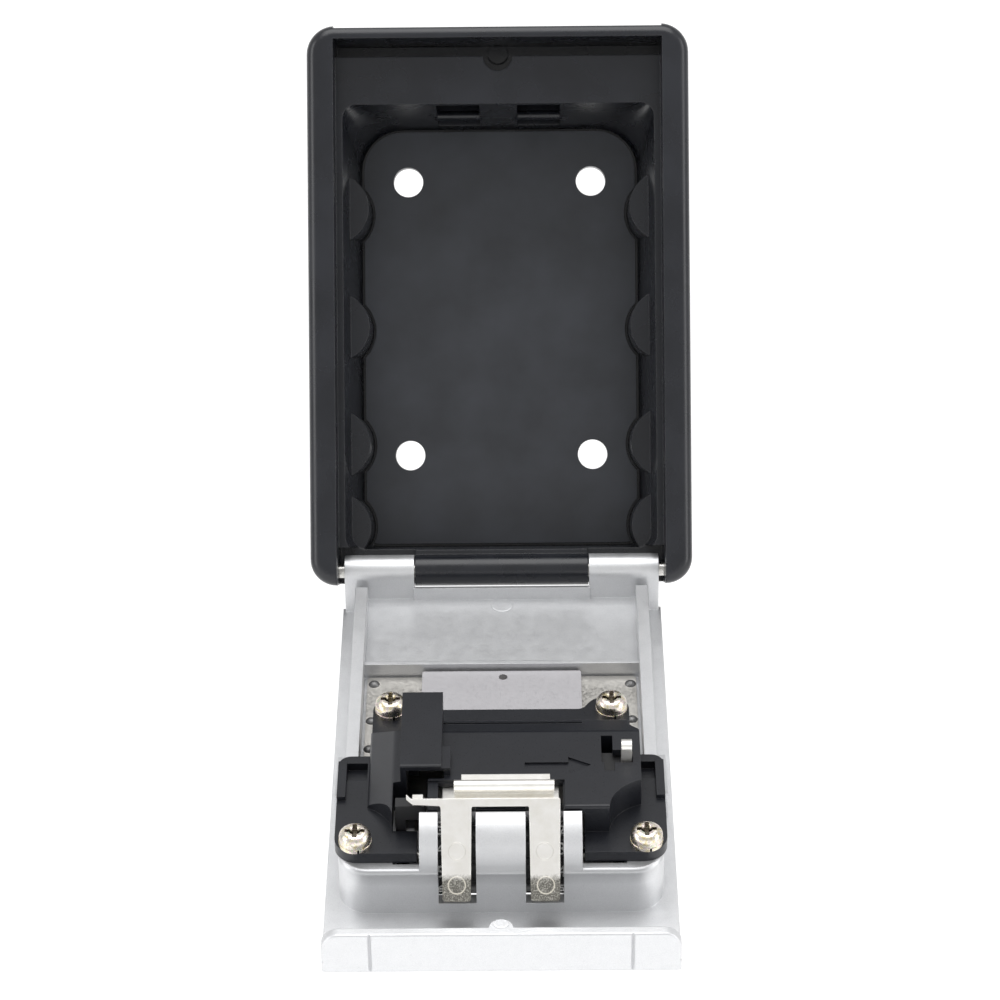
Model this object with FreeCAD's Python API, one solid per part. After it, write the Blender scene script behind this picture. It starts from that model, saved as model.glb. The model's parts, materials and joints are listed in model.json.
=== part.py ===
import FreeCAD, Part
import math
import os

# Key lock box: a wall-mounted key safe whose door swings down on two short pins.
# Frame: origin at the centre of the four wall-screw holes, on the wall plane Y = 0.
# The front faces -Y, +Z is up, +X is to the right. Millimetres.
# Door pieces are drawn with the door shut, in (x, h, s): s runs from the hinge axis
# towards the free end, h from the hinge axis inwards. They are then swung open.

# ---------------------------------------------------------------- housing sizes
HALF_WIDTH = 40.0
DEPTH = 40.0
BOTTOM_Z = -57.6
CHEEK_TOP_Z = 59.7
LIP_TOP_Z = 59.1
LIP_UNDER_Z = 56.8
SEAT_TOP_Z = 53.9
CHEEK_INNER_X = 34.4
SEAT_Y = -32.2
CHANNEL_FLOOR_Y = -25.0
STRIKE_BACK_Y = -30.5
FLOOR_Y = -2.2
LINER_FRONT_Y = -3.4
CAVITY_FRONT = dict(half_x=32.9, z0=-50.4, z1=43.8, low_radius=2.9, radius=2.9)
CAVITY_BACK = dict(half_x=30.3, z0=-50.0, z1=41.6, low_radius=3.4, radius=9.2)
PILLAR_RADIUS = 7.6
PILLAR_INNER_X = 27.9
PILLAR_Z = (22.8, -2.6, -27.8, -45.6)
PILLAR_FRONT_Y = -22.0
LATCH_POCKET_X = (4.0, 13.2)
LATCH_POCKET_TOP_Z = 49.4
WALL_HOLE_X = 20.0
WALL_HOLE_Z = 30.0
WALL_HOLE_RADIUS = 3.25

# ---------------------------------------------------------------- hinge
HINGE_Y = -29.0
HINGE_Z = -54.7
OPEN_ANGLE = 126.0
BARREL_RADIUS = 3.3
BARREL_HALF = 18.3
KNUCKLE_IN = 18.5
KNUCKLE_OUT = 33.2
PIN_RADIUS = 1.5
PIN_X = (14.5, 37.4)
RUNNING_GAP = 0.05

# ---------------------------------------------------------------- door sizes
DOOR_HALF = 33.7
DOOR_FACE_H = -11.0
DOOR_END_S = 111.2
END_WALL = 2.0
END_WALL_TOP_H = -0.9
COMPARTMENT_H = -4.8
WELL_H = -5.6
END_FLOOR_H = -7.6
RIB_X = (28.25, 30.8)
CROSS_WALL_S = (28.6, 29.6)
LOW_WALL_H = -1.8
BLOCK_HALF = 31.0
BLOCK_TOP_H = 2.8
BLOCK_END_S = 97.8
BLOCK_RADIUS = 6.0
SKIN_START_S = 3.4
DRUM_S = 86.4
DRUM_RADIUS = 11.4
DRUM_WALL = 1.6
DRUM_HALF = 15.4
DRUM_START_S = 89.9
SLOT_X = (4.7, 11.9)
SLOT_BOTTOM_H = -5.3
COVER_RECESS = dict(half_x=25.0, s0=27.5, s1=97.0, floor_h=-7.6)

# ---------------------------------------------------------------- lock sizes
WHEEL_S = 87.6
WHEEL_H = -2.8
WHEEL_RADIUS = 6.8
WHEEL_PITCH = 7.7
WHEEL_WIDTH = 7.0
WHEEL_BORE = 4.0
WHEEL_COUNT = 4
DIGITS = 10
SPINDLE_RADIUS = 1.5
HUB_RADIUS = 3.93
HUB_LENGTH = 6.4
LATCH_FACE = 102.2
LATCH_THICKNESS = 1.5
LATCH_TIP_H = -0.4
PLATE_TOP_H = 5.2
ROOF_H = 11.5
TOWER_H = 14.0
WALL = 1.5
SCREW_TOP = (21.9, 53.0)
SCREW_LOW = (27.6, 92.2)
SCREW_RADIUS = 1.4
HEAD_RADIUS = 3.05
HEAD_HEIGHT = 2.5
SLIDE_PLATE_HALF = 16.3
GUIDE_PLATE_HALF = 27.6
RIVET_PLACES = ((-26.2, 32.2), (-26.4, 44.0), (-26.6, 52.8), (26.4, 32.6), (26.4, 44.0))
RIVET_RADIUS = 0.7
COVER_TRAVEL = 20.3
COVER_POST = (6.0, 44.5)


# ---------------------------------------------------------------- helpers
def vec(x, y, z):
    return FreeCAD.Vector(x, y, z)


def box(x0, x1, y0, y1, z0, z1):
    """Box between two corners."""
    corner = vec(min(x0, x1), min(y0, y1), min(z0, z1))
    return Part.makeBox(abs(x1 - x0), abs(y1 - y0), abs(z1 - z0), corner)


def rod_x(radius, x0, x1, y, z):
    """Cylinder along X."""
    return Part.makeCylinder(radius, x1 - x0, vec(x0, y, z), vec(1, 0, 0))


def rod_y(radius, y0, y1, x, z):
    """Cylinder along Y, which is the h direction of the door."""
    return Part.makeCylinder(radius, y1 - y0, vec(x, y0, z), vec(0, 1, 0))


def both_sides(shape):
    """The shape and its mirror image across X = 0."""
    return [shape, shape.mirror(vec(0, 0, 0), vec(1, 0, 0))]


def fuse(*parts):
    """One solid from several, with shared faces cleaned up."""
    flat = []
    for part in parts:
        flat.extend(part if isinstance(part, list) else [part])
    return flat[0].fuse(flat[1:]).removeSplitter()


def cut(shape, *tools):
    flat = []
    for tool in tools:
        flat.extend(tool if isinstance(tool, list) else [tool])
    return shape.cut(flat)


def outline(points, place):
    """Closed wire through (a, b, radius) corners, rounded where the radius is not zero."""
    count = len(points)
    corners = []
    for i in range(count):
        a, b, radius = points[i]
        here = vec(a, b, 0)
        before = vec(points[i - 1][0], points[i - 1][1], 0)
        after = vec(points[(i + 1) % count][0], points[(i + 1) % count][1], 0)
        if radius == 0:
            corners.append((here, None, here))
            continue
        to_before = (before - here).normalize()
        to_after = (after - here).normalize()
        half_turn = to_before.getAngle(to_after) / 2.0
        reach = radius / math.tan(half_turn)
        bisector = (to_before + to_after).normalize()
        middle = here + bisector * (radius / math.sin(half_turn) - radius)
        corners.append((here + to_before * reach, middle, here + to_after * reach))
    edges = []
    for i in range(count):
        start, middle, end = corners[i]
        if middle is not None:
            edges.append(Part.Arc(place(start), place(middle), place(end)).toShape())
        following = corners[(i + 1) % count][0]
        if end.distanceToPoint(following) > 1e-6:
            edges.append(Part.LineSegment(place(end), place(following)).toShape())
    return Part.Wire(edges)


def plate(points, h0, h1):
    """Outline in (x, z) pushed along Y from h0 to h1."""
    wire = outline(points, lambda p: vec(p.x, h0, p.y))
    return Part.Face(wire).extrude(vec(0, h1 - h0, 0))


def profile(points, x0, x1):
    """Outline in (y, z) pushed along X from x0 to x1."""
    wire = outline(points, lambda p: vec(x0, p.x, p.y))
    return Part.Face(wire).extrude(vec(x1 - x0, 0, 0))


def panel(points, z0, z1):
    """Outline in (x, y) pushed along Z from z0 to z1."""
    wire = outline(points, lambda p: vec(p.x, p.y, z0))
    return Part.Face(wire).extrude(vec(0, 0, z1 - z0))


def edges_where(shape, test):
    """Edges whose end points all pass the test."""
    return [edge for edge in shape.Edges if all(test(vertex.Point) for vertex in edge.Vertexes)]


def open_door(shape):
    """From the shut, hinge-centred drawing frame to the open door in the part's frame."""
    moved = shape.copy()
    moved.rotate(vec(0, 0, 0), vec(1, 0, 0), OPEN_ANGLE)
    moved.translate(vec(0, HINGE_Y, HINGE_Z))
    return moved


# ---------------------------------------------------------------- housing pieces
def cavity_corners(size, inset):
    """Corners of one end of the key space, with tighter corners at the bottom."""
    half_x = size["half_x"] - inset
    low = size["low_radius"] - inset
    high = size["radius"] - inset
    z0 = size["z0"] + inset
    z1 = size["z1"] - inset
    return [(-half_x, z0, low), (half_x, z0, low), (half_x, z1, high), (-half_x, z1, high)]


def make_cavity():
    """Drafted key space, from the door seat back to the floor."""
    front = outline(cavity_corners(CAVITY_FRONT, 0.0), lambda p: vec(p.x, SEAT_Y, p.y))
    back = outline(cavity_corners(CAVITY_BACK, 0.0), lambda p: vec(p.x, FLOOR_Y, p.y))
    return Part.makeLoft([front, back], True, True)


def make_housing():
    top_radius = 6.0
    bottom_radius = 5.5
    body = plate([(-HALF_WIDTH, BOTTOM_Z, bottom_radius), (HALF_WIDTH, BOTTOM_Z, bottom_radius),
                  (HALF_WIDTH, CHEEK_TOP_Z, top_radius), (-HALF_WIDTH, CHEEK_TOP_Z, top_radius)],
                 -DEPTH, 0.0)
    front_rim = edges_where(body, lambda p: abs(p.y + DEPTH) < 0.01)
    body = body.makeFillet(2.4, front_rim)
    wall_rim = edges_where(body, lambda p: abs(p.y) < 0.01)
    body = body.makeFillet(0.8, wall_rim)

    inner = CHEEK_INNER_X
    front = -DEPTH - 1.0
    body = cut(body,
               box(-inner, inner, front, 1.0, LIP_TOP_Z, CHEEK_TOP_Z + 1.0),
               box(-inner, inner, front, CHANNEL_FLOOR_Y, SEAT_TOP_Z, LIP_UNDER_Z),
               box(-inner, inner, front, SEAT_Y, BOTTOM_Z - 1.0, LIP_UNDER_Z))

    # half-round notch in the seat, for the tab on the door's end wall
    notch_radius = 3.1
    body = cut(body, rod_y(notch_radius, SEAT_Y - 1.0, CHANNEL_FLOOR_Y, 0.0, SEAT_TOP_Z),
               make_cavity())

    # half-round pillars along both cavity walls
    pillar_x = PILLAR_INNER_X + PILLAR_RADIUS
    pillars = []
    for z in PILLAR_Z:
        pillar = rod_y(PILLAR_RADIUS, PILLAR_FRONT_Y, FLOOR_Y, pillar_x, z)
        pillar = pillar.common(box(PILLAR_INNER_X, CHEEK_INNER_X + 1.0, PILLAR_FRONT_Y, FLOOR_Y,
                                   BOTTOM_Z + 4.0, CHEEK_TOP_Z))
        pillars.extend(both_sides(pillar))
    body = fuse(body, pillars)

    # latch pockets behind the strike lip, each with a round stiffening bar across it
    x0, x1 = LATCH_POCKET_X
    pocket = box(x0, x1, STRIKE_BACK_Y, -7.0, 38.0, LATCH_POCKET_TOP_Z)
    body = cut(body, both_sides(pocket))
    bar = rod_x(1.0, x0 - 0.5, x1 + 0.5, -15.5, CAVITY_BACK["z1"] + 1.6)
    body = fuse(body, both_sides(bar))

    # room for the knuckles and the swinging heel of the door
    heel_back_y = -22.4
    heel_top_z = CAVITY_FRONT["z0"] + 0.7
    heel = box(BARREL_HALF, inner, front, heel_back_y, BOTTOM_Z - 1.0, heel_top_z)
    centre_front = box(-BARREL_HALF - 1.0, BARREL_HALF + 1.0, front, HINGE_Y + 0.2,
                       BOTTOM_Z - 1.0, heel_top_z)
    body = cut(body, both_sides(heel), centre_front)
    barrel = rod_x(BARREL_RADIUS, -BARREL_HALF, BARREL_HALF, HINGE_Y, HINGE_Z)
    web = box(-BARREL_HALF, BARREL_HALF, HINGE_Y, heel_back_y, BOTTOM_Z, HINGE_Z + BARREL_RADIUS)
    body = fuse(body, barrel, web)

    # pin bores through the cheeks' inner walls and into the barrel
    body = cut(body, both_sides(rod_x(PIN_RADIUS, PIN_X[0], PIN_X[1], HINGE_Y, HINGE_Z)))

    # round boss on the channel floor
    boss = rod_y(2.2, CHANNEL_FLOOR_Y - 0.4, CHANNEL_FLOOR_Y, 0.0, 55.2)
    body = fuse(body, boss.common(box(-3, 3, -30, -20, SEAT_TOP_Z - 1.5, LIP_UNDER_Z)))
    return cut(body, wall_holes(FLOOR_Y - 1.0, 1.0))


def wall_holes(y0, y1):
    holes = []
    for z in (-WALL_HOLE_Z, WALL_HOLE_Z):
        holes.extend(both_sides(rod_y(WALL_HOLE_RADIUS, y0, y1, WALL_HOLE_X, z)))
    return holes


def make_back_liner():
    """Floor plate, scalloped round the pillars with a visible gap."""
    gap = 0.6
    liner = plate(cavity_corners(CAVITY_BACK, gap), LINER_FRONT_Y, FLOOR_Y)
    pillar_x = PILLAR_INNER_X + PILLAR_RADIUS
    scallops = []
    for z in PILLAR_Z:
        scallops.extend(both_sides(rod_y(PILLAR_RADIUS + gap, LINER_FRONT_Y - 1.0, 0.0, pillar_x, z)))
    liner = cut(liner, scallops, wall_holes(LINER_FRONT_Y - 1.0, 1.0))
    return liner


def make_hinge_pin(side):
    """Short straight pin from the cheek, through the knuckle, into the barrel."""
    pin = rod_x(PIN_RADIUS, PIN_X[0], PIN_X[1], HINGE_Y, HINGE_Z)
    if side < 0:
        pin = pin.mirror(vec(0, 0, 0), vec(1, 0, 0))
    return pin.makeChamfer(0.3, pin.Edges)


# ---------------------------------------------------------------- door shell
def knuckle():
    """Barrel and heel that carry the door on one side."""
    barrel = rod_x(BARREL_RADIUS, KNUCKLE_IN, KNUCKLE_OUT, 0.0, 0.0)
    heel = [(DOOR_FACE_H, 0.6, 1.2), (-8.2, -1.6, 2.0), (0.0, -BARREL_RADIUS, 0),
            (0.0, BARREL_RADIUS, 0)]
    inner = heel + [(COMPARTMENT_H, SKIN_START_S + 0.2, 0), (DOOR_FACE_H, SKIN_START_S + 0.2, 0)]
    outer = heel + [(END_FLOOR_H, SKIN_START_S + 1.0, 0), (DOOR_FACE_H, SKIN_START_S + 1.0, 0)]
    return fuse(barrel, profile(inner, KNUCKLE_IN, RIB_X[1]),
                profile(outer, RIB_X[1] - 0.2, KNUCKLE_OUT))


def make_door_shell():
    skin = box(-DOOR_HALF, DOOR_HALF, DOOR_FACE_H, END_FLOOR_H, SKIN_START_S, DOOR_END_S)
    front_edges = edges_where(skin, lambda p: p.y < DOOR_FACE_H + 0.01 and abs(p.x) > 1)
    front_edges = [edge for edge in front_edges if edge.Length > 100 or edge.CenterOfMass.z > 100]
    skin = skin.makeFillet(1.6, front_edges)

    # raised bed between the ribs, compartment floor and low wall over the hinge barrel
    bed = box(-RIB_X[1], RIB_X[1], END_FLOOR_H, WELL_H, SKIN_START_S, 72.0)
    floor = box(-RIB_X[1], RIB_X[1], WELL_H, COMPARTMENT_H, SKIN_START_S, CROSS_WALL_S[1])
    low_wall = box(-KNUCKLE_IN - 0.2, KNUCKLE_IN + 0.2, WELL_H, LOW_WALL_H, SKIN_START_S,
                   SKIN_START_S + 0.7)
    rib = box(RIB_X[0], RIB_X[1], WELL_H, 0.0, 5.0, BLOCK_END_S - 12.0)
    rib = rib.makeFillet(1.2, edges_where(rib, lambda p: p.z < 5.01 and p.y > -0.01))
    cross_wall = box(-RIB_X[0] - 0.3, RIB_X[0] + 0.3, WELL_H, LOW_WALL_H, *CROSS_WALL_S)
    gusset = profile([(END_FLOOR_H, 56.5, 0), (-3.4, 57.0, 0), (-1.5, 71.0, 0),
                      (END_FLOOR_H, 71.0, 0)], RIB_X[1] - 0.2, 32.6)

    # end wall with rounded upper corners and a half-round tab on its inner edge
    end_wall = panel([(-DOOR_HALF, DOOR_FACE_H + 1.0, 0), (DOOR_HALF, DOOR_FACE_H + 1.0, 0),
                      (DOOR_HALF, END_WALL_TOP_H, 3.4), (-DOOR_HALF, END_WALL_TOP_H, 3.4)],
                     DOOR_END_S - END_WALL, DOOR_END_S)
    end_rim = [edge for edge in end_wall.Edges
               if edge.CenterOfMass.z > DOOR_END_S - 0.01
               and edge.CenterOfMass.y > DOOR_FACE_H + 1.5]
    end_wall = end_wall.makeFillet(0.5, end_rim)
    tab = rod_y(2.3, END_FLOOR_H - 0.5, END_WALL_TOP_H, 0.0, DOOR_END_S - END_WALL)
    tab = tab.common(box(-3, 3, -12, 0, 100, DOOR_END_S - 0.5))

    # block round the lock, open in the middle for the wheels
    block = plate([(-BLOCK_HALF, 71.0, 0), (BLOCK_HALF, 71.0, 0),
                   (BLOCK_HALF, BLOCK_END_S, BLOCK_RADIUS),
                   (-BLOCK_HALF, BLOCK_END_S, BLOCK_RADIUS)],
                  END_FLOOR_H - 0.5, BLOCK_TOP_H)
    top_rim = [edge for edge in block.Edges
               if edge.CenterOfMass.y > BLOCK_TOP_H - 0.01 and edge.CenterOfMass.z > 71.5]
    block = block.makeFillet(0.9, top_rim)
    knuckles = both_sides(knuckle())
    shell = fuse(skin, bed, floor, low_wall, both_sides(rib), cross_wall,
                 both_sides(gusset), end_wall, tab, block, knuckles)

    # lock well between the ribs and through the block
    well = box(-20.5, 23.8, WELL_H, ROOF_H, CROSS_WALL_S[1], 95.6)
    outer_well = box(-RIB_X[0], RIB_X[0], WELL_H, 0.5, CROSS_WALL_S[1], 72.5)
    shell = cut(shell, well, outer_well)

    # drum over the wheels, in three humps
    drum = rod_x(DRUM_RADIUS, -DRUM_HALF, DRUM_HALF, 0.0, DRUM_S)
    drum = cut(drum, rod_x(DRUM_RADIUS - DRUM_WALL, -DRUM_HALF - 1, DRUM_HALF + 1, 0.0, DRUM_S))
    drum = drum.common(box(-DRUM_HALF, DRUM_HALF, 0.0, DRUM_RADIUS + 1, DRUM_START_S, 100.0))
    shell = fuse(shell, drum)
    x0, x1 = SLOT_X
    leg_slot = box(x0, x1, SLOT_BOTTOM_H, 15.0, 88.0, 100.0)
    shell = cut(shell, both_sides(leg_slot))

    # lugs that carry the spindle, bosses for the upper cover screws
    lug = box(16.0, 17.6, WELL_H - 0.5, 0.2, 83.2, 92.0)
    boss = rod_y(2.3, WELL_H - 0.5, 1.6, *SCREW_TOP)
    shell = fuse(shell, both_sides(lug), both_sides(boss))

    # outer recess for the dust cover, dial window, cover slots and lever slot
    size = COVER_RECESS
    recess = plate([(-size["half_x"], size["s0"], 2.0), (size["half_x"], size["s0"], 2.0),
                    (size["half_x"], size["s1"], 2.0), (-size["half_x"], size["s1"], 2.0)],
                   DOOR_FACE_H - 1.0, size["floor_h"])
    window = box(-15.75, 15.75, DOOR_FACE_H, WELL_H + 1.0, 80.2, 95.0)
    cover_slot = cover_post_slot(DOOR_FACE_H, WELL_H + 1.0)
    lever_slot = box(-20.3, -17.0, DOOR_FACE_H, WELL_H + 1.0, 76.0, 88.4)
    shell = cut(shell, recess, window, both_sides(cover_slot), lever_slot)

    # bores: hinge pins, spindle, screws
    pin_bore = rod_x(PIN_RADIUS + RUNNING_GAP, KNUCKLE_IN - 1, KNUCKLE_OUT + 1, 0.0, 0.0)
    spindle_bore = rod_x(SPINDLE_RADIUS + RUNNING_GAP, -18.0, 18.0, WHEEL_H, WHEEL_S)
    upper_bore = rod_y(SCREW_RADIUS, -4.6, 2.0, *SCREW_TOP)
    lower_bore = rod_y(SCREW_RADIUS, -4.6, BLOCK_TOP_H + 1, *SCREW_LOW)
    shell = cut(shell, both_sides(pin_bore), spindle_bore, both_sides(upper_bore),
                both_sides(lower_bore))

    # two V grooves down the end face
    groove_x = 24.6
    groove = Part.Face(Part.makePolygon([
        vec(groove_x - 0.5, DOOR_FACE_H - 1, DOOR_END_S + 0.1),
        vec(groove_x + 0.5, DOOR_FACE_H - 1, DOOR_END_S + 0.1),
        vec(groove_x, DOOR_FACE_H - 1, DOOR_END_S - 0.45),
        vec(groove_x - 0.5, DOOR_FACE_H - 1, DOOR_END_S + 0.1)])).extrude(vec(0, 14, 0))
    return cut(shell, both_sides(groove))


# ---------------------------------------------------------------- plates on the door
def cover_post_slot(h0, h1):
    """Slot in which one post of the dust cover travels."""
    x, s = COVER_POST
    half = 1.8
    return plate([(x - half, s - 2.2, 1.7), (x + half, s - 2.2, 1.7),
                  (x + half, s + COVER_TRAVEL + 2.2, 1.7), (x - half, s + COVER_TRAVEL + 2.2, 1.7)],
                 h0, h1)


def make_guide_plate():
    """Thin steel plate on the floor of the lock space, with two slots for the dust cover."""
    top_h = WELL_H + 0.7
    half = GUIDE_PLATE_HALF
    sheet = plate([(-half, 30.0, 0.8), (half, 30.0, 0.8), (half, 71.6, 0), (17.0, 71.6, 0),
                   (17.0, 78.6, 0.8), (-17.0, 78.6, 0.8), (-17.0, 71.6, 0), (-half, 71.6, 0)],
                  WELL_H, top_h)
    slot = cover_post_slot(WELL_H - 1, top_h + 1)
    holes = both_sides(rod_y(2.5, WELL_H - 1, top_h + 1, *SCREW_TOP))
    rivets = [rod_y(RIVET_RADIUS, WELL_H - 1, top_h + 1, x, s) for x, s in RIVET_PLACES]
    return cut(sheet, both_sides(slot), holes, rivets)


def make_guide_plate_rivets():
    """Peened studs with low domed heads."""
    rivets = []
    for x, s in RIVET_PLACES:
        shank = rod_y(RIVET_RADIUS, WELL_H, WELL_H + 0.7, x, s)
        head = Part.makeSphere(1.3, vec(x, WELL_H + 0.1, s), vec(0, 1, 0))
        head = head.common(box(x - 1.5, x + 1.5, WELL_H + 0.7, 0, s - 1.5, s + 1.5))
        rivets.append(fuse(shank, head))
    return Part.makeCompound(rivets)


def make_cover_slide_plate():
    """Back plate of the dust cover, inside the door, with one small hole."""
    h0 = WELL_H + 0.8
    h1 = h0 + 1.6
    body = plate([(-SLIDE_PLATE_HALF, 30.2, 0.6), (SLIDE_PLATE_HALF, 30.2, 0.6),
                  (SLIDE_PLATE_HALF, 48.2, 0.6), (-SLIDE_PLATE_HALF, 48.2, 0.6)], h0, h1)
    hole = rod_y(0.9, h0 - 1, h1 + 1, 0.3, 32.2)
    pins = both_sides(rod_y(0.9, h0 - 1, h1 + 1, *COVER_POST))
    return cut(body, hole, pins)


def make_cover_slide_rivets():
    """Two rivets through the posts of the dust cover and its back plate."""
    rivet = fuse(rod_y(0.9, -9.0, WELL_H + 2.4, *COVER_POST),
                 rod_y(1.4, WELL_H + 2.4, WELL_H + 2.7, *COVER_POST))
    return Part.makeCompound(both_sides(rivet))


def make_dust_cover():
    """Sliding outer cover, slid down off the dials, with two posts and a grip."""
    s0 = 28.2
    s1 = 28.2 + 48.0
    half = COVER_RECESS["half_x"] - 0.5
    under_h = DOOR_FACE_H + 1.0
    rim_h = COVER_RECESS["floor_h"] - 0.3
    face = plate([(-half, s0, 1.6), (half, s0, 1.6), (half, s1, 1.6), (-half, s1, 1.6)],
                 DOOR_FACE_H, rim_h)
    inside = box(-half + 1.2, half - 1.2, under_h, rim_h + 1, s0 + 1.2, s1 + 1)
    body = cut(face, inside)
    posts = both_sides(rod_y(1.6, under_h - 0.2, WELL_H + 0.8, *COVER_POST))
    body = fuse(body, posts)
    grips = [rod_x(0.45, -11.0, 11.0, DOOR_FACE_H, s1 - 6.0 - 2.2 * i) for i in range(4)]
    bores = both_sides(rod_y(0.9, -9.0, 0, *COVER_POST))
    return cut(body, grips, bores)


def make_dial_bezel():
    """Frame round the four dial windows."""
    top_h = COVER_RECESS["floor_h"]
    frame = plate([(-16.4, 81.2, 1.2), (16.4, 81.2, 1.2), (16.4, 94.0, 1.2), (-16.4, 94.0, 1.2)],
                  top_h - 0.7, top_h)
    windows = []
    for x in wheel_places():
        windows.append(box(x - 3.6, x + 3.6, top_h - 1, top_h + 1, 82.0, 93.2))
    return cut(frame, windows)


# ---------------------------------------------------------------- mechanism cover
def cover_outline(inset, s_end):
    """Plan outline of the middle of the cover, with its two screw ears."""
    e = inset
    x_ear = 25.4 - e
    s_ear = 49.4 + e
    s_mid = 52.8 + e
    x_in = 18.4 + e
    x_side = 27.2 - e
    ear = 3.4 - e
    inner = 3.0 - e
    return [(-x_ear, s_ear, ear), (-x_in, s_ear, inner), (-x_in + 2.2, s_mid, 2.0),
            (x_in - 2.2, s_mid, 2.0), (x_in, s_ear, inner), (x_ear, s_ear, ear),
            (x_ear, 64.6, 2.0), (x_side, 66.6, 1.0), (x_side, s_end, 0), (-x_ear, s_end, 0)]


def make_mechanism_cover():
    under = WELL_H + 0.75
    skirt = plate(cover_outline(0.0, 70.5), under, PLATE_TOP_H)
    hollow = plate(cover_outline(1.2, 70.6), under - 1, PLATE_TOP_H - WALL)
    ear_post = both_sides(rod_y(3.4, under, PLATE_TOP_H, *SCREW_TOP))
    wing = plate([(15.9, 66.9, 0), (31.6, 66.9, 2.4), (31.6, 95.2, 4.5), (15.9, 95.2, 0)],
                 BLOCK_TOP_H, PLATE_TOP_H)
    rail = box(29.9, 31.6, PLATE_TOP_H, PLATE_TOP_H + 1.0, 69.5, 80.0)
    roof = profile([(BLOCK_TOP_H, 60.8, 0), (9.2, 60.8, 1.0), (ROOF_H, 67.2, 2.0),
                    (ROOF_H, 89.4, 0.6), (BLOCK_TOP_H, 89.4, 0)], -19.0, 27.2)
    roof = roof.common(plate([(-19.0, 60.0, 0), (24.9, 60.0, 0), (24.9, 63.6, 1.5),
                              (26.9, 66.4, 1.5), (26.9, 90.0, 0), (-19.0, 90.0, 0)], 0.0, 20.0))
    shoulder = panel([(-25.6, BLOCK_TOP_H, 0), (-25.6, 5.8, 1.2), (-20.6, 9.9, 2.0),
                      (-18.0, 10.4, 0), (-18.0, BLOCK_TOP_H, 0)], 57.0, 89.4)
    shoulder = shoulder.common(profile([(BLOCK_TOP_H, 58.6, 0), (5.6, 60.4, 1.0),
                                        (11.0, 66.0, 1.0), (11.0, 90.0, 0),
                                        (BLOCK_TOP_H, 90.0, 0)], -30.0, -10.0))
    tower = profile([(BLOCK_TOP_H, 57.7, 0), (TOWER_H, 57.7, 0.5), (TOWER_H, 80.2, 0.4),
                     (BLOCK_TOP_H, 80.2, 0)], -19.2, -11.3)
    tower_step = box(-19.2, -9.6, BLOCK_TOP_H, TOWER_H - 0.6, 73.6, 80.2)
    skirt = fuse(cut(skirt, hollow), ear_post)
    raised = fuse(roof, shoulder, tower, tower_step)
    raised = cut(raised, both_sides(rod_y(8.6, PLATE_TOP_H, TOWER_H + 1, 29.2, 90.0)))
    body = fuse(skirt, both_sides(wing), both_sides(rail), raised)

    # inner spaces: wheels and latch, reset mechanism, tower, lever stem
    space_roof = ROOF_H - WALL
    wheel_space = box(-15.9, 15.9, under - 1, space_roof, 62.4, 97.0)
    reset_space = box(15.0, 25.4, under - 1, space_roof, 70.8, 79.2)
    tower_space = box(-18.0, -12.5, under - 1, TOWER_H - 1.2, 70.0, 81.0)
    tower_mouth = box(-18.0, -10.8, 7.0, TOWER_H - 1.2, 74.8, 81.0)
    stem_space = box(-20.6, -13.9, under - 1, ROOF_H + 1, 80.2, 88.9)
    arm_space = box(-20.6, -13.9, PLATE_TOP_H, ROOF_H + 1, 88.0, 90.0)
    bar_space = box(-18.5, 12.2, 10.9, ROOF_H + 1, 81.5, 90.0)
    body = cut(body, wheel_space, reset_space, tower_space, tower_mouth, stem_space, arm_space,
               bar_space)

    # room for the drum and the latch tongues, slide plate and cover screws
    drum_room = rod_x(DRUM_RADIUS + 0.3, -DRUM_HALF - 0.4, DRUM_HALF + 0.4, 0.0, DRUM_S)
    drum_room = drum_room.common(box(-20, 20, 0, 13, DRUM_START_S - 0.25, 100))
    x0, x1 = SLOT_X
    leg_room = both_sides(box(x0, x1, under - 1, ROOF_H + 1, 81.6, 98.0))
    plate_room = box(-16.9, 16.9, under - 1, WELL_H + 3.0, 45.0, 80.0)
    screw_holes = both_sides(rod_y(1.6, under - 1, PLATE_TOP_H + 1, *SCREW_TOP))
    boss_rooms = both_sides(rod_y(2.35, under - 1, 1.8, *SCREW_TOP))
    low_holes = both_sides(rod_y(1.6, under - 1, PLATE_TOP_H + 1, *SCREW_LOW))
    body = cut(body, drum_room, leg_room, plate_room, screw_holes, boss_rooms, low_holes)

    # openings in the wings, stepped slot for the reset lever, engraved arrow beside it
    wing_slots = both_sides(box(25.9, 29.9, BLOCK_TOP_H + 0.6, PLATE_TOP_H + 1, 69.0, 74.0))
    reset_slot = [box(19.4, 21.6, 0, ROOF_H + 1, 68.6, 76.6),
                  box(19.4, 25.4, 0, ROOF_H + 1, 72.9, 76.6),
                  box(19.9, 21.9, 0, ROOF_H + 1, 76.0, 79.0)]
    return cut(body, wing_slots, reset_slot, arrow())


def arrow():
    """Plain arrow, engraved in the roof, pointing at the reset lever."""
    s = 77.2
    shaft = 0.75
    head = 2.3
    points = [(4.6, s - shaft, 0), (13.0, s - shaft, 0), (13.0, s - head, 0), (17.4, s, 0),
              (13.0, s + head, 0), (13.0, s + shaft, 0), (4.6, s + shaft, 0)]
    return plate(points, ROOF_H - 0.45, ROOF_H + 1)


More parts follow.
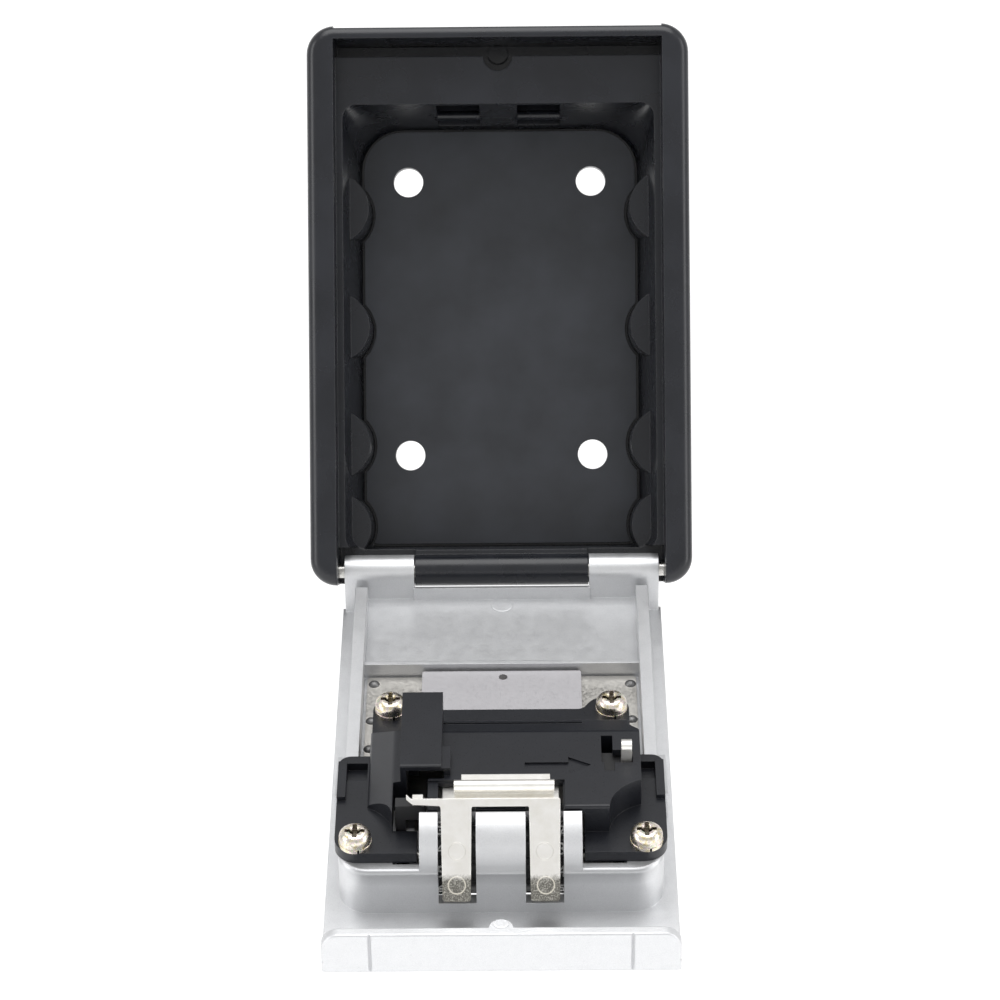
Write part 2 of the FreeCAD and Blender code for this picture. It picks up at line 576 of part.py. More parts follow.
def screw(x, s, head_h, tip_h):
    """Pan-head screw with a cross recess."""
    top_h = head_h + HEAD_HEIGHT
    head = rod_y(HEAD_RADIUS, head_h, top_h, x, s)
    head = head.makeFillet(1.5, [edge for edge in head.Edges if edge.CenterOfMass.y > top_h - 0.1
                                 and edge.Length > 5])
    shank = rod_y(SCREW_RADIUS, tip_h, head_h, x, s)
    floor_h = top_h - 1.4
    recess = [box(x - 1.9, x + 1.9, floor_h, top_h + 1, s - 0.42, s + 0.42),
              box(x - 0.42, x + 0.42, floor_h, top_h + 1, s - 1.9, s + 1.9),
              Part.makeCone(0.4, 1.2, 1.6, vec(x, floor_h - 0.1, s), vec(0, 1, 0))]
    return cut(fuse(head, shank), recess)


def screw_places():
    places = []
    for x, s in (SCREW_TOP, SCREW_LOW):
        places.extend([(-x, s), (x, s)])
    return places


def make_cover_screws():
    washer = 0.7
    return Part.makeCompound([screw(x, s, PLATE_TOP_H + washer, -4.0) for x, s in screw_places()])


def make_lock_washers():
    """Split spring washers under the screw heads."""
    rings = []
    for x, s in screw_places():
        ring = rod_y(HEAD_RADIUS + 0.1, PLATE_TOP_H, PLATE_TOP_H + 0.7, x, s)
        ring = cut(ring, rod_y(1.5, PLATE_TOP_H - 1, PLATE_TOP_H + 2, x, s),
                   box(x + 0.5, x + 0.9, PLATE_TOP_H - 1, PLATE_TOP_H + 2, s, s + 4))
        rings.append(ring)
    return Part.makeCompound(rings)


# ---------------------------------------------------------------- lock mechanism
def wheel_places():
    first = -WHEEL_PITCH * (WHEEL_COUNT - 1) / 2.0
    return [first + WHEEL_PITCH * i for i in range(WHEEL_COUNT)]


def around_spindle(radius, step):
    """Point at one of the ten digit directions, at a radius from the spindle."""
    angle = 2.0 * math.pi * step / DIGITS
    return WHEEL_H + radius * math.cos(angle), WHEEL_S + radius * math.sin(angle)


def make_digit_wheel(x):
    """Ring with ten finger grooves between the digits and ten notches in its bore."""
    x0 = x - WHEEL_WIDTH / 2.0
    x1 = x + WHEEL_WIDTH / 2.0
    ring = rod_x(WHEEL_RADIUS, x0, x1, WHEEL_H, WHEEL_S)
    ring = ring.makeChamfer(0.4, [edge for edge in ring.Edges if edge.Length > 30])
    tools = [rod_x(WHEEL_BORE, x0 - 1, x1 + 1, WHEEL_H, WHEEL_S)]
    for i in range(DIGITS):
        h, s = around_spindle(WHEEL_RADIUS + 0.25, i + 0.5)
        tools.append(rod_x(0.75, x0 - 1, x1 + 1, h, s))
        h, s = around_spindle(WHEEL_BORE, i)
        tools.append(rod_x(0.55, x0 - 1, x1 + 1, h, s))
    return cut(ring, tools)


def make_clutch_hub(x):
    """Sleeve on the spindle with five teeth for its wheel and a flat for the code."""
    x0 = x - HUB_LENGTH / 2.0
    x1 = x + HUB_LENGTH / 2.0
    sleeve = rod_x(HUB_RADIUS - 0.25, x0, x1, WHEEL_H, WHEEL_S)
    teeth = []
    for i in range(0, DIGITS, 2):
        h, s = around_spindle(HUB_RADIUS - 0.2, i)
        teeth.append(rod_x(0.45, x0, x0 + 3.0, h, s))
    sleeve = fuse(sleeve, teeth)
    flat = box(x0 + 3.4, x1 + 1, WHEEL_H - 5, WHEEL_H + 5, WHEEL_S + 2.6, WHEEL_S + 6)
    bore = rod_x(SPINDLE_RADIUS + RUNNING_GAP, x0 - 1, x1 + 1, WHEEL_H, WHEEL_S)
    return cut(sleeve, flat, bore)


def make_spindle():
    shaft = rod_x(SPINDLE_RADIUS, -17.7, 23.4, WHEEL_H, WHEEL_S)
    return shaft.makeChamfer(0.3, shaft.Edges)


def make_detent_spring():
    """Leaf spring with one finger behind each wheel."""
    foot = box(-15.0, 15.0, WELL_H + 0.7, WELL_H + 1.1, 77.0, 78.4)
    back = box(-15.0, 15.0, WELL_H + 0.7, -3.6, 77.0, 77.4)
    fingers = []
    for x in wheel_places():
        finger = profile([(-4.0, 77.0, 0), (-4.0, 77.4, 0), (2.2, 80.0, 0), (3.4, 79.6, 0),
                          (3.4, 79.2, 0), (2.2, 79.5, 0)], x - 2.6, x + 2.6)
        fingers.append(finger)
    return fuse(foot, back, fingers)


def latch_plate(points):
    """Plate with its face on the 45 degree latch plane, from an outline in (x, h)."""
    wire = outline(points, lambda p: vec(p.x, p.y, LATCH_FACE - p.y))
    depth = LATCH_THICKNESS / math.sqrt(2.0)
    return Part.Face(wire).extrude(vec(0, -depth, -depth))


def make_latch_fork():
    """Two sloping legs, a cross bar with a hooked left arm, a rolled back and two tongues."""
    tip = LATCH_TIP_H
    arm_x = -17.8
    sheet = latch_plate([
        (arm_x, 13.9, 0), (arm_x + 0.9, 13.3, 0.4), (11.3, 13.3, 0.3), (11.1, tip, 0.5),
        (5.6, tip, 0.5), (5.4, 12.2, 0.3), (-5.5, 12.2, 0.3), (-5.7, tip, 0.5),
        (-11.0, tip, 0.5), (-11.3, 12.3, 0.4), (arm_x + 1.2, 12.5, 0.8), (arm_x, 13.2, 0.2)])
    roll = rod_x(1.15, -8.8, 10.2, 13.9, 86.0)
    roll_bridge = [box(-8.8, 10.2, 11.5, 12.3, 85.6, 89.0),
                   box(-8.8, 10.2, 11.5, 13.9, 85.6, 86.4)]
    flange = box(-7.4, 9.4, 14.2, 14.9, 83.8, 86.2)
    tongues = [box(-11.1, -5.7, 8.3, 9.6, 75.0, 92.0), box(5.6, 11.1, 8.3, 9.6, 75.0, 92.0)]
    drop = [box(-16.7, -14.7, 9.4, 12.2, 86.4, 87.6), box(-16.7, -14.7, 11.3, 12.2, 86.4, 88.6)]
    return fuse(sheet, roll, roll_bridge, flange, tongues, drop)


def coil(radius, wire, turns, length, x, h, s):
    """Compression spring along s."""
    helix = Part.makeHelix(length / turns, length, radius)
    start = vec(radius, 0, 0)
    ring = Part.Wire(Part.makeCircle(wire / 2.0, start, vec(0, 1, 0)))
    spring = Part.Wire(helix).makePipeShell([ring], True, True)
    spring.translate(vec(x, h, s))
    return spring


def make_latch_springs():
    """Two compression springs between the cover's wall and the latch tongues."""
    return Part.makeCompound([coil(0.9, 0.4, 7, 11.8, x, 8.6, 62.8) for x in (-8.4, 8.4)])


def make_opening_lever():
    """Thumb lever beside the dials, with a stem up to the latch arm."""
    pad = plate([(-22.9, 77.6, 1.0), (-16.9, 77.6, 1.0), (-16.9, 92.6, 1.0), (-22.9, 92.6, 1.0)],
                -9.7, -7.9)
    grip = [rod_x(0.4, -22.1, -17.6, -9.7, 79.6 + 1.8 * i) for i in range(7)]
    pad = cut(pad, grip)
    stem = box(-20.0, -18.1, -8.0, 10.8, 85.7, 88.2)
    head = box(-20.0, -14.3, 7.4, 10.8, 85.7, 88.2)
    pocket = box(-17.0, -14.2, 9.2, 11.5, 86.2, 87.8)
    return cut(fuse(pad, stem, head), pocket)


def make_reset_lever():
    """Round-topped metal tongue that stands out of the stepped slot."""
    tongue = profile([(4.9, 73.4, 0), (15.2, 73.4, 1.2), (15.2, 76.0, 1.2), (4.9, 76.0, 0)],
                     23.2, 25.2)
    return tongue


def make_reset_carriage():
    """Slider under the cover that carries the reset lever and pushes the hubs."""
    slide = box(18.6, 25.4, 6.4, 9.6, 71.6, 78.4)
    arm = box(21.4, 23.4, -4.4, 6.6, 76.2, 78.2)
    yoke = box(21.4, 23.4, -4.4, -1.2, 76.2, 92.0)
    spindle_hole = rod_x(SPINDLE_RADIUS + RUNNING_GAP, 15.0, 30.0, WHEEL_H, WHEEL_S)
    return cut(fuse(slide, arm, yoke), spindle_hole, make_reset_lever())


# ---------------------------------------------------------------- write the pieces
def main():
    pieces = {
        "housing": make_housing(),
        "back_liner": make_back_liner(),
        "hinge_pin_right": make_hinge_pin(1),
        "hinge_pin_left": make_hinge_pin(-1),
    }
    door_pieces = {
        "door_shell": make_door_shell(),
        "guide_plate": make_guide_plate(),
        "guide_plate_rivets": make_guide_plate_rivets(),
        "cover_slide_plate": make_cover_slide_plate(),
        "cover_slide_rivets": make_cover_slide_rivets(),
        "dust_cover": make_dust_cover(),
        "dial_bezel": make_dial_bezel(),
        "mechanism_cover": make_mechanism_cover(),
        "cover_screws": make_cover_screws(),
        "lock_washers": make_lock_washers(),
        "spindle": make_spindle(),
        "detent_spring": make_detent_spring(),
        "latch_fork": make_latch_fork(),
        "latch_springs": make_latch_springs(),
        "opening_lever": make_opening_lever(),
        "reset_lever": make_reset_lever(),
        "reset_carriage": make_reset_carriage(),
    }
    for number, x in enumerate(wheel_places(), start=1):
        door_pieces["digit_wheel_%d" % number] = make_digit_wheel(x)
        door_pieces["clutch_hub_%d" % number] = make_clutch_hub(x)
    for name, shape in door_pieces.items():
        pieces[name] = open_door(shape)

    os.makedirs("parts", exist_ok=True)
    for name, shape in pieces.items():
        print(name, len(shape.Solids), shape.isValid(), round(shape.Volume, 1))
        shape.exportStep("parts/%s.step" % name)


main()
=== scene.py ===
import json
import math

import bpy
from mathutils import Euler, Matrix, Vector


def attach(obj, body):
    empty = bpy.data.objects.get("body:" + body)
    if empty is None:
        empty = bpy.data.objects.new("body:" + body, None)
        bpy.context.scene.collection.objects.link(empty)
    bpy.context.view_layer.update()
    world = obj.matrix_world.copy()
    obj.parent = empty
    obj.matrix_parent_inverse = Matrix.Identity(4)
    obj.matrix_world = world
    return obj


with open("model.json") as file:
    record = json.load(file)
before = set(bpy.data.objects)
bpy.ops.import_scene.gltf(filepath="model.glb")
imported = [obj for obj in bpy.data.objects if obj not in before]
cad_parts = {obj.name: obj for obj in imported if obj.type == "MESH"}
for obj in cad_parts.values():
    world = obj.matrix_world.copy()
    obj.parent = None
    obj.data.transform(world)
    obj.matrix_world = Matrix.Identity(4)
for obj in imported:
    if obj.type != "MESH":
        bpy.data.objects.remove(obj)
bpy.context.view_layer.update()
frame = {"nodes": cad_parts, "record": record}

# The open door's own frame: the hinge line, then along the door to its free end,
# inwards through it, and across it.
HINGE = Vector((0.0, -0.0290, -0.0547))
ALONG = Vector((0.0, -0.80902, -0.58779))
INWARD = Vector((0.0, -0.58779, 0.80902))
ACROSS = Vector((1.0, 0.0, 0.0))
MM_PER_METRE = 1000.0


def door_point(x, h, s):
    """Point of the open door from millimetres across, inwards and along it."""
    return HINGE + (ACROSS * x + INWARD * h + ALONG * s) / MM_PER_METRE


# Round casting marks on the door: place in millimetres across, inwards and along it.
TAB_MARK = (0.0, -0.9, 107.9)
TAB_MARK_RADIUS = 0.0014
FLOOR_MARK = (0.05, -4.8, 6.1)
FLOOR_MARK_RADIUS = 0.0022

# Round marks on the latch's sloping legs: across and inwards. Inwards and along add up
# to one number all over the slope.
LATCH_MARKS = ((-8.25, 6.25), (-8.3, 1.75), (8.3, 6.2), (8.45, 1.7))
LATCH_MARK_RADIUS = 0.0016
LATCH_SLOPE_SUM = 102.2

# Cover screws: across and along the door in millimetres, and the recess in their heads, which is
# darkened as painted shade.
SCREWS = ((-21.9, 53.0), (21.9, 53.0), (-27.6, 92.2), (27.6, 92.2))
RECESS_FLOOR = 7.0
RECESS_REACH = 0.0022
RECESS_TOP = (0.0077, 0.0081)

# Painted shade on the low front of the lock: where the band fades in and out along the door, its
# middle level inwards, and how it fades above and below that level. All in metres.
PAINTED_SHADE_START = (0.0955, 0.0975)
PAINTED_SHADE_END = (0.1035, 0.1065)
PAINTED_SHADE_LEVEL = 0.0045
PAINTED_SHADE_FADE = (0.0010, 0.0052)


# ------------------------------------------------------------------ node helpers
class Nodes:
    """Small wrapper that makes a material's node tree easy to build."""

    def __init__(self, name, color, roughness, metallic=0.0, specular=0.5):
        self.material = bpy.data.materials.new(name)
        self.material.use_nodes = True
        self.tree = self.material.node_tree
        self.shader = self.tree.nodes["Principled BSDF"]
        self.shader.inputs["Base Color"].default_value = (*color, 1.0)
        self.shader.inputs["Roughness"].default_value = roughness
        self.shader.inputs["Metallic"].default_value = metallic
        self.shader.inputs["Specular IOR Level"].default_value = specular
        self.place = self.add("ShaderNodeTexCoord").outputs["Object"]

    def add(self, kind, **values):
        node = self.tree.nodes.new(kind)
        for key, value in values.items():
            setattr(node, key, value)
        return node

    def link(self, source, target):
        self.tree.links.new(source, target)

    def noise(self, scale, detail=3.0, rough=0.5):
        """Noise over the object's own coordinates, in cycles per metre."""
        node = self.add("ShaderNodeTexNoise")
        node.inputs["Scale"].default_value = scale
        node.inputs["Detail"].default_value = detail
        node.inputs["Roughness"].default_value = rough
        self.link(self.place, node.inputs["Vector"])
        return node.outputs["Fac"]

    def span(self, value, low, high, to_low=0.0, to_high=1.0):
        """Clamped straight-line remap."""
        node = self.add("ShaderNodeMapRange")
        node.inputs["From Min"].default_value = low
        node.inputs["From Max"].default_value = high
        node.inputs["To Min"].default_value = to_low
        node.inputs["To Max"].default_value = to_high
        self.link(value, node.inputs["Value"])
        return node.outputs["Result"]

    def math(self, operation, first, second=None, third=None):
        """One step of arithmetic on numbers and sockets."""
        node = self.add("ShaderNodeMath", operation=operation)
        for socket, value in zip(node.inputs, (first, second, third)):
            if isinstance(value, (int, float)):
                socket.default_value = value
            elif value is not None:
                self.link(value, socket)
        return node.outputs["Value"]

    def mix(self, factor, first, second):
        """Blend of two colours, each a tuple or a socket."""
        node = self.add("ShaderNodeMix", data_type="RGBA")
        factor_in, first_in, second_in = node.inputs[0], node.inputs[6], node.inputs[7]
        for socket, value in ((factor_in, factor), (first_in, first), (second_in, second)):
            if isinstance(value, (int, float)):
                socket.default_value = value
            elif isinstance(value, tuple):
                socket.default_value = (*value, 1.0)
            else:
                self.link(value, socket)
        return node.outputs[2]

    def along(self, direction):
        """Distance of the shaded point from the hinge line along a direction, in metres."""
        away = self.add("ShaderNodeVectorMath", operation="SUBTRACT")
        away.inputs[1].default_value = HINGE
        self.link(self.place, away.inputs[0])
        dot = self.add("ShaderNodeVectorMath", operation="DOT_PRODUCT")
        dot.inputs[1].default_value = direction
        self.link(away.outputs["Vector"], dot.inputs[0])
        return dot.outputs["Value"]

    def ring(self, centre, radius, width):
        """1 on a ring round a point of the surface, falling to 0 in its width, in metres."""
        away = self.add("ShaderNodeVectorMath", operation="DISTANCE")
        away.inputs[1].default_value = centre
        self.link(self.place, away.inputs[0])
        off = self.math("ABSOLUTE", self.math("SUBTRACT", away.outputs["Value"], radius))
        return self.span(off, 0.0, width, 1.0, 0.0)

    def largest(self, values):
        """Largest of several values."""
        result = values[0]
        for value in values[1:]:
            result = self.math("MAXIMUM", result, value)
        return result

    def color(self, value):
        self.link(value, self.shader.inputs["Base Color"])

    def rough(self, value):
        self.link(value, self.shader.inputs["Roughness"])

    def bump(self, height, distance, strength, bevel=0.0):
        """Relief in metres, with edges rounded to the bevel radius where one is given."""
        node = self.add("ShaderNodeBump")
        node.inputs["Distance"].default_value = distance
        node.inputs["Strength"].default_value = strength
        self.link(height, node.inputs["Height"])
        if bevel:
            edge = self.add("ShaderNodeBevel", samples=4)
            edge.inputs["Radius"].default_value = bevel
            self.link(edge.outputs["Normal"], node.inputs["Normal"])
        self.link(node.outputs["Normal"], self.shader.inputs["Normal"])


# ------------------------------------------------------------------ materials
def black_paint(name, color, roughness, grain, bevel):
    """Fine powder coat: a dense pebble with slow changes in sheen."""
    n = Nodes(name, color, roughness, specular=0.45)
    slow = n.noise(90.0, 4.0)
    fine = n.noise(5200.0, 2.0)
    light = tuple(1.5 * c for c in color)
    n.color(n.mix(n.span(slow, 0.35, 0.7), color, light))
    n.rough(n.span(slow, 0.3, 0.75, roughness - 0.05, roughness + 0.07))
    n.bump(fine, grain, 0.5, bevel)
    return n.material


def grime_band(n):
    """1 in the band of painted shade on the low front of the lock, fading to 0 round it."""
    started = n.span(n.along(ALONG), *PAINTED_SHADE_START)
    not_ended = n.span(n.along(ALONG), *PAINTED_SHADE_END, 1.0, 0.0)
    off_level = n.math("ABSOLUTE", n.math("SUBTRACT", n.along(INWARD), PAINTED_SHADE_LEVEL))
    near_level = n.span(off_level, *PAINTED_SHADE_FADE, 1.0, 0.0)
    return n.math("MULTIPLY", n.math("MULTIPLY", started, not_ended), near_level)


def silver_paint(name):
    """Silver lacquer: fine metal flake, dark specks, painted shade on the low front of the lock and
    two round casting marks.
    """
    n = Nodes(name, (0.50, 0.51, 0.525), 0.40, metallic=0.80, specular=0.4)
    flake = n.noise(7000.0, 1.0)
    cloud = n.noise(420.0, 6.0, 0.7)
    speck = n.noise(2600.0, 2.0, 0.7)
    base = n.mix(n.span(cloud, 0.3, 0.72), (0.605, 0.611, 0.623), (0.655, 0.661, 0.672))
    base = n.mix(n.span(flake, 0.40, 0.66, 0.0, 0.5), base, (0.74, 0.745, 0.755))
    base = n.mix(n.span(speck, 0.66, 0.78, 0.0, 0.35), base, (0.26, 0.27, 0.28))
    # Painted shade: the low front of the lock, between the latch legs, is coloured darker grey.
    n.color(n.mix(n.span(grime_band(n), 0.0, 1.0, 0.0, 0.75), base, (0.25, 0.255, 0.265)))
    n.rough(n.span(cloud, 0.3, 0.7, 0.38, 0.44))
    marks = n.largest([n.ring(door_point(*TAB_MARK), TAB_MARK_RADIUS, 0.00022),
                       n.ring(door_point(*FLOOR_MARK), FLOOR_MARK_RADIUS, 0.00025)])
    grain = n.math("ADD", n.math("MULTIPLY", flake, 0.6), speck)
    n.bump(n.math("MULTIPLY_ADD", marks, -2.5, grain), 0.00003, 0.55, 0.00022)
    return n.material


def plated(name, color, roughness, grain=0.000008, cloud_dark=0.82):
    """Plated metal: cloudy tone over a fine grain."""
    n = Nodes(name, color, roughness, metallic=1.0)
    cloud = n.noise(260.0, 5.0, 0.62)
    fine = n.noise(1500.0, 3.0, 0.6)
    dark = tuple(cloud_dark * c for c in color)
    n.color(n.mix(n.span(cloud, 0.32, 0.68), dark, color))
    n.rough(n.span(fine, 0.3, 0.7, roughness - 0.07, roughness + 0.10))
    n.bump(fine, grain, 0.4, 0.00012)
    return n.material


def zinc_screws(name):
    """Yellow zinc plate with a patchy rainbow film; painted shade darkens the recesses of the
    heads.
    """
    n = Nodes(name, (0.72, 0.66, 0.54), 0.26, metallic=1.0)
    patch = n.noise(1100.0, 2.0, 0.5)
    ramp = n.add("ShaderNodeValToRGB")
    stops = ((0.28, (0.60, 0.50, 0.30)), (0.40, (0.78, 0.70, 0.50)), (0.50, (0.80, 0.76, 0.68)),
             (0.58, (0.74, 0.60, 0.60)), (0.66, (0.55, 0.64, 0.50)), (0.78, (0.80, 0.70, 0.48)))
    while len(ramp.color_ramp.elements) < len(stops):
        ramp.color_ramp.elements.new(0.5)
    for element, (position, color) in zip(ramp.color_ramp.elements, stops):
        element.position = position
        element.color = (*color, 1.0)
    n.link(patch, ramp.inputs["Fac"])
    grime = n.noise(2600.0, 3.0)
    film = n.mix(n.span(grime, 0.50, 0.72, 0.0, 0.5), ramp.outputs["Color"], (0.22, 0.19, 0.15))
    below_top = n.span(n.along(INWARD), *RECESS_TOP, 1.0, 0.0)
    near = n.largest([n.ring(door_point(x, RECESS_FLOOR, s), 0.0, RECESS_REACH)
                      for x, s in SCREWS])
    recess_shade = n.math("MULTIPLY", below_top, n.span(near, 0.06, 0.22))
    # Painted shade: the recesses of the screw heads are coloured near black.
    n.color(n.mix(n.span(recess_shade, 0.0, 1.0, 0.0, 0.86), film, (0.07, 0.06, 0.04)))
    n.rough(n.span(grime, 0.35, 0.7, 0.20, 0.40))
    n.bump(grime, 0.00003, 0.5, 0.00012)
    return n.material


def black_plastic(name, color, roughness):
    """Satin moulded plastic with a spark-eroded texture."""
    n = Nodes(name, color, roughness, specular=0.42)
    slow = n.noise(150.0, 3.0)
    fine = n.noise(4200.0, 2.0, 0.6)
    n.color(n.mix(n.span(slow, 0.3, 0.7), color, tuple(1.25 * c for c in color)))
    n.rough(n.span(fine, 0.3, 0.7, roughness - 0.04, roughness + 0.08))
    n.bump(fine, 0.000012, 0.45, 0.00015)
    return n.material


def latch_nickel(name):
    """Bright cast nickel; the low part of the bevelled tips is coloured dark as painted shade, and
    is rougher and pitted.
    """
    n = Nodes(name, (0.86, 0.84, 0.80), 0.34, metallic=0.85)
    level = n.along(INWARD)
    ragged = n.math("MULTIPLY_ADD", n.noise(1400.0, 4.0, 0.7), 0.0014, level)
    tip = n.span(ragged, 0.0031, 0.0039, 1.0, 0.0)
    pits = n.noise(3800.0, 3.0, 0.7)
    cloud = n.noise(320.0, 4.0, 0.6)
    rings = n.largest([n.ring(door_point(x, h, LATCH_SLOPE_SUM - h), LATCH_MARK_RADIUS, 0.00020)
                       for x, h in LATCH_MARKS])
    bright = n.mix(n.span(cloud, 0.3, 0.7), (0.84, 0.82, 0.77), (0.93, 0.915, 0.885))
    bright = n.mix(n.span(rings, 0.0, 1.0, 0.0, 0.45), bright, (0.50, 0.48, 0.43))
    # Painted shade: below a ragged level the bevelled tips are coloured dark.
    shaded_tip = n.mix(n.span(pits, 0.48, 0.64), (0.14, 0.135, 0.12), (0.42, 0.41, 0.37))
    # Painted highlight: the round marks on the dark tips get bright rims, as where they catch the
    # light.
    shaded_tip = n.mix(n.span(rings, 0.0, 1.0, 0.0, 0.8), shaded_tip, (0.80, 0.76, 0.66))
    n.color(n.mix(tip, bright, shaded_tip))
    n.rough(n.span(tip, 0.0, 1.0, 0.33, 0.55))
    relief = n.math("MULTIPLY", pits, n.span(tip, 0.0, 1.0, 0.12, 1.0))
    n.bump(n.math("ADD", relief, rings), 0.00007, 0.6, 0.00020)
    return n.material


MATERIALS = {
    "housing_black": black_paint("housing_black", (0.0072, 0.0080, 0.0108), 0.27, 0.000005, 0.0004),
    "liner_black": black_paint("liner_black", (0.0310, 0.0335, 0.0400), 0.40, 0.000005, 0.0002),
    "door_silver": silver_paint("door_silver"),
    "pin_steel": plated("pin_steel", (0.66, 0.65, 0.62), 0.28),
    "plate_nickel": plated("plate_nickel", (0.74, 0.72, 0.68), 0.36),
    "slide_plate_grey": plated("slide_plate_grey", (0.515, 0.506, 0.522), 0.55, 0.000002,
                               cloud_dark=0.97),
    "rivet_zinc": plated("rivet_zinc", (0.20, 0.20, 0.20), 0.46, 0.00003),
    "screw_zinc": zinc_screws("screw_zinc"),
    "spring_steel": plated("spring_steel", (0.50, 0.50, 0.51), 0.30),
    "latch_nickel": latch_nickel("latch_nickel"),
    "cover_black": black_plastic("cover_black", (0.0080, 0.0088, 0.0118), 0.31),
    "lever_black": black_plastic("lever_black", (0.0120, 0.0120, 0.0130), 0.42),
    "dust_cover_black": black_plastic("dust_cover_black", (0.0150, 0.0155, 0.0170), 0.38),
    "wheel_black": black_plastic("wheel_black", (0.0130, 0.0130, 0.0140), 0.35),
    "hub_zinc": plated("hub_zinc", (0.60, 0.60, 0.60), 0.42),
}

for part in frame["record"]["subparts"]:
    node = frame["nodes"][part["node"]]
    for material_slot in node.material_slots:
        material_slot.material = MATERIALS[part["material_slot"]]


# ------------------------------------------------------------------ numbers on the wheels
WHEELS = 4
WHEEL_RADIUS = 0.0068
WHEEL_PITCH = 7.7
WHEEL_AXIS = door_point(0.0, -2.8, 87.6)
DIGITS = 10
DIGIT_HEIGHT = 0.0034
DIGIT_HALF_THICKNESS = 0.00018
DIGIT_SUNK = 0.00008
DIGIT_STAGGER = 3


def number_mesh(digit):
    """One raised digit, lying in its own XY plane."""
    curve = bpy.data.curves.new("digit", "FONT")
    curve.body = str(digit)
    curve.size = DIGIT_HEIGHT
    curve.extrude = DIGIT_HALF_THICKNESS
    curve.align_x = "CENTER"
    curve.align_y = "CENTER"
    curve.resolution_u = 3
    shape = bpy.data.objects.new("digit", curve)
    bpy.context.scene.collection.objects.link(shape)
    bpy.context.view_layer.update()
    mesh = bpy.data.meshes.new_from_object(shape)
    bpy.data.objects.remove(shape)
    return mesh


def wheel_numbers(wheel, x, paint):
    """The ten digits of one wheel as a single piece that turns with it."""
    vertices = []
    faces = []
    for step in range(DIGITS):
        turn = 2.0 * math.pi * step / DIGITS
        out = INWARD * math.cos(turn) + ALONG * math.sin(turn)
        up = INWARD * math.sin(turn) - ALONG * math.cos(turn)
        centre = WHEEL_AXIS + ACROSS * (x / MM_PER_METRE) + out * (WHEEL_RADIUS - DIGIT_SUNK)
        mesh = number_mesh((step + wheel * DIGIT_STAGGER) % DIGITS)
        first = len(vertices)
        side = up.cross(out)
        for vertex in mesh.vertices:
            vertices.append(centre + side * vertex.co.x + up * vertex.co.y + out * vertex.co.z)
        faces.extend([[first + i for i in face.vertices] for face in mesh.polygons])
        bpy.data.meshes.remove(mesh)
    joined = bpy.data.meshes.new("numbers_%d" % wheel)
    joined.from_pydata(vertices, [], faces)
    joined.materials.append(paint)
    piece = bpy.data.objects.new("numbers_%d" % wheel, joined)
    bpy.context.scene.collection.objects.link(piece)
    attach(piece, "wheel_%d" % wheel)


def pale_print():
    """White tampo print, slightly rubbed."""
    n = Nodes("number_white", (0.80, 0.80, 0.78), 0.5, specular=0.3)
    wear = n.noise(2400.0, 3.0, 0.6)
    n.color(n.mix(n.span(wear, 0.55, 0.75), (0.82, 0.82, 0.80), (0.55, 0.55, 0.54)))
    n.bump(wear, 0.00001, 0.4)
    return n.material


white = pale_print()
for wheel in range(1, WHEELS + 1):
    wheel_numbers(wheel, WHEEL_PITCH * (wheel - (WHEELS + 1) / 2.0), white)


# ------------------------------------------------------------------ stage, light, camera
FLOOR_LEVEL = -0.45
FLOOR_FRONT = -3.0
FLOOR_HALF_WIDTH = 4.0
BACKDROP_PLACE = 2.2
BACKDROP_TOP = 3.2
BACKDROP_BEND = 1.2
BEND_STEPS = 12

# Each lamp: name, place, point it faces, width, height and watts.
LAMPS = (
    ("soft_top", (0.0, -0.55, 1.00), (0.0, -0.05, -0.03), 1.1, 0.9, 10.0),
    ("soft_left", (-0.9, -0.45, 0.15), (0.0, -0.03, 0.0), 0.35, 1.0, 3.0),
    ("soft_right", (0.9, -0.45, 0.15), (0.0, -0.03, 0.0), 0.35, 1.0, 3.0),
)

CAMERA_PLACE = (0.0052, -0.752, -0.03992)
CAMERA_TURN = (90.0, 0.45, 0.431)
CAMERA_LENS = 122.7


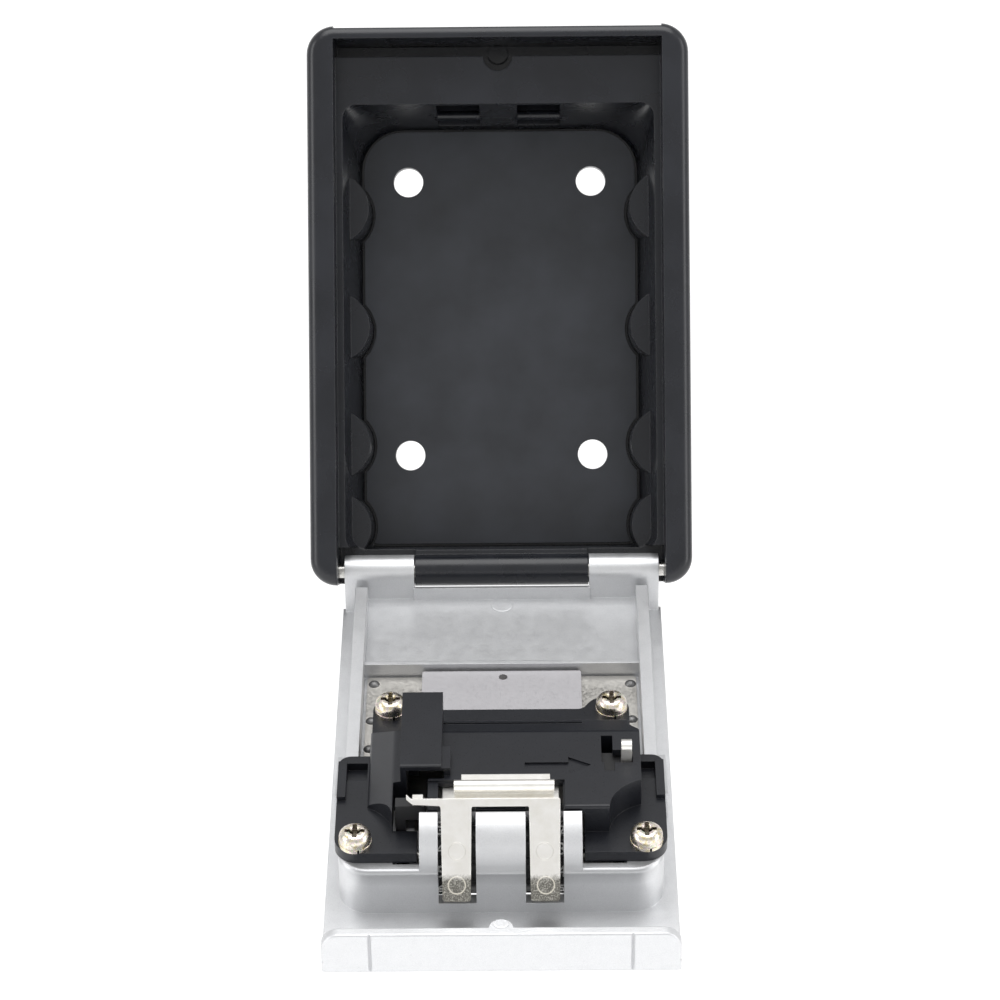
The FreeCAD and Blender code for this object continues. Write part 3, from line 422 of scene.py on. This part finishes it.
def floor_and_backdrop():
    """Pale floor that curves up into a backdrop, well behind and below the object."""
    rows = [(FLOOR_FRONT, FLOOR_LEVEL)]
    for step in range(BEND_STEPS + 1):
        turn = math.radians(90.0 * step / BEND_STEPS)
        y = BACKDROP_PLACE - BACKDROP_BEND + BACKDROP_BEND * math.sin(turn)
        z = FLOOR_LEVEL + BACKDROP_BEND - BACKDROP_BEND * math.cos(turn)
        rows.append((y, z))
    rows.append((BACKDROP_PLACE, BACKDROP_TOP))
    vertices = [(x, y, z) for y, z in rows for x in (-FLOOR_HALF_WIDTH, FLOOR_HALF_WIDTH)]
    faces = [(2 * i, 2 * i + 1, 2 * i + 3, 2 * i + 2) for i in range(len(rows) - 1)]
    mesh = bpy.data.meshes.new("floor_sweep")
    mesh.from_pydata(vertices, [], faces)
    mesh.shade_smooth()
    sweep = bpy.data.objects.new("floor_sweep", mesh)
    bpy.context.scene.collection.objects.link(sweep)
    paint = Nodes("floor_white", (0.93, 0.93, 0.93), 0.9, specular=0.1)
    paint.shader.inputs["Emission Color"].default_value = (1.0, 1.0, 1.0, 1.0)
    paint.shader.inputs["Emission Strength"].default_value = 0.25
    mesh.materials.append(paint.material)


def area_light(name, location, target, width, height, watts):
    """Rectangular lamp turned to face a point."""
    data = bpy.data.lights.new(name, "AREA")
    data.shape = "RECTANGLE"
    data.size = width
    data.size_y = height
    data.energy = watts
    lamp = bpy.data.objects.new(name, data)
    lamp.location = location
    lamp.rotation_euler = (Vector(target) - Vector(location)).to_track_quat("-Z", "Y").to_euler()
    bpy.context.scene.collection.objects.link(lamp)


def lights():
    """Even white surroundings and three soft lamps."""
    world = bpy.data.worlds.new("studio")
    bpy.context.scene.world = world
    world.use_nodes = True
    background = world.node_tree.nodes["Background"]
    background.inputs["Color"].default_value = (1.0, 1.0, 1.0, 1.0)
    background.inputs["Strength"].default_value = 0.70
    for lamp in LAMPS:
        area_light(*lamp)


def camera():
    """Long lens straight in front of the box, near the level of the hinge."""
    data = bpy.data.cameras.new("camera")
    data.sensor_width = 36.0
    data.lens = CAMERA_LENS
    data.clip_start = 0.01
    data.clip_end = 50.0
    eye = bpy.data.objects.new("camera", data)
    eye.location = CAMERA_PLACE
    eye.rotation_euler = Euler([math.radians(turn) for turn in CAMERA_TURN], "XYZ")
    bpy.context.scene.collection.objects.link(eye)
    bpy.context.scene.camera = eye


floor_and_backdrop()
lights()
camera()
bpy.context.scene.view_settings.view_transform = "Standard"
